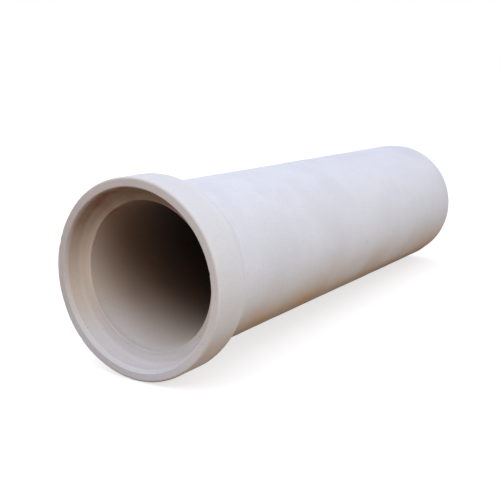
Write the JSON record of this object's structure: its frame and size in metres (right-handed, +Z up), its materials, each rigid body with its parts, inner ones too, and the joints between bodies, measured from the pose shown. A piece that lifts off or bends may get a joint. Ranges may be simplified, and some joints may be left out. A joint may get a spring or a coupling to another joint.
{
  "type": "concrete sewer pipe",
  "caption": "Long round concrete sewer pipe with a bell socket at one end and a turned-down spigot at the other, lying on its side; carries waste water underground.",
  "frame": {"origin": "centre of the underside of the box round the pipe, on the level floor that it lies on", "axes": "+X along the pipe toward the spigot end, +Y across it, +Z up. The pipe rests on the bell and on the end of the barrel, so its own axis dips toward +X by 1.23 degrees"},
  "size_m": [2.6008, 0.7998, 0.8028],
  "materials": {
    "concrete": "smooth cast concrete, matte, pale grey with faint brown soil staining"
  },
  "bodies": {
    "root": {"sewer_pipe": "concrete"}
  },
  "joints": []
}
